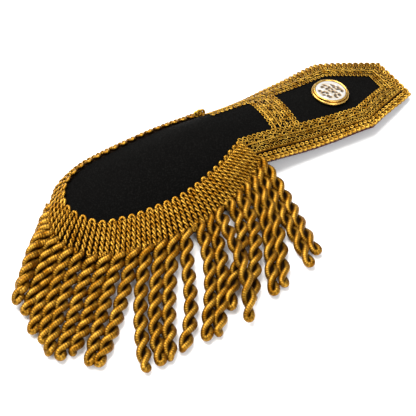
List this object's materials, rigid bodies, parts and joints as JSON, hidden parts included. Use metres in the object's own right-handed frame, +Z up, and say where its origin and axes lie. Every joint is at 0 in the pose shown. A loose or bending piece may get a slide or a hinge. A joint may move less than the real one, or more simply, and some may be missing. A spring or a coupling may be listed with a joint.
{
  "type": "fringed epaulette",
  "caption": "Dress epaulette: black felt strap and rounded pad with gold lace border and cross band, pierced button, and a ribbed heading with swept twisted fringe.",
  "frame": {"origin": "on the surface that the epaulette lies on, under the button's centre", "axes": "+X along the strap to its clipped end, +Y across the strap away from the side that the fringe is swept to, +Z up"},
  "size_m": [0.2741, 0.1455, 0.0222],
  "materials": {
    "black_felt": "matte wool felt",
    "red_lining": "matte woven lining",
    "gold_lace": "woven metallic thread",
    "gold_bullion": "twisted metallic cord",
    "gilt_metal": "polished gilt",
    "pale_plate": "bright silvered plate with gilt edges"
  },
  "bodies": {
    "root": {"cloth_top": "black_felt", "backing": "red_lining", "strap_lace": "gold_lace", "cross_lace": "gold_lace", "edge_cord": "gold_bullion", "fringe": "gold_bullion", "button_rim": "gilt_metal", "button_face": "pale_plate", "button_shank": "gilt_metal"}
  },
  "joints": []
}
